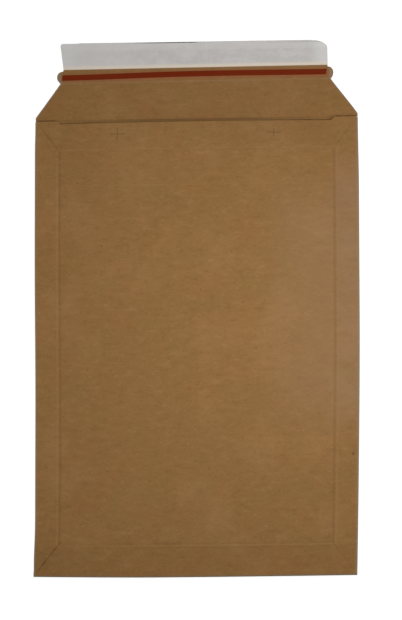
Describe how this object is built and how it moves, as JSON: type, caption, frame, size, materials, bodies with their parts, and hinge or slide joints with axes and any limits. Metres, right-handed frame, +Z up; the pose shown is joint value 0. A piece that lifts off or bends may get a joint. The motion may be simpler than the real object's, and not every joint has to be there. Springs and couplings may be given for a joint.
{
  "type": "board mailer",
  "caption": "Flat brown board mailer lying face up: an open-ended pocket with a crease frame, and a hinged closing flap with tear band and lined adhesive lip.",
  "frame": {"origin": "on the surface the mailer lies on, under the middle of its box with the flap open", "axes": "+X across to the right, +Y along the length towards the flap's lip, +Z up out of the front panel"},
  "size_m": [0.25, 0.4132, 0.0076],
  "materials": {
    "kraft_board": "matte",
    "hot_melt": "satin",
    "red_film": "satin",
    "seal_adhesive": "satin",
    "liner_paper": "satin"
  },
  "bodies": {
    "pocket": {"board_pocket": "kraft_board", "left_seam_glue": "hot_melt", "right_seam_glue": "hot_melt"},
    "flap": {"closing_flap": "kraft_board", "tear_tape": "red_film", "closure_adhesive": "seal_adhesive", "release_liner": "liner_paper"}
  },
  "joints": [
    {"name": "flap_hinge", "type": "hinge", "parent": "pocket", "child": "flap", "pos_m": [0, 0.1475, 0.0047], "axis": [1, 0, 0], "range_deg": [0, 178]}
  ]
}
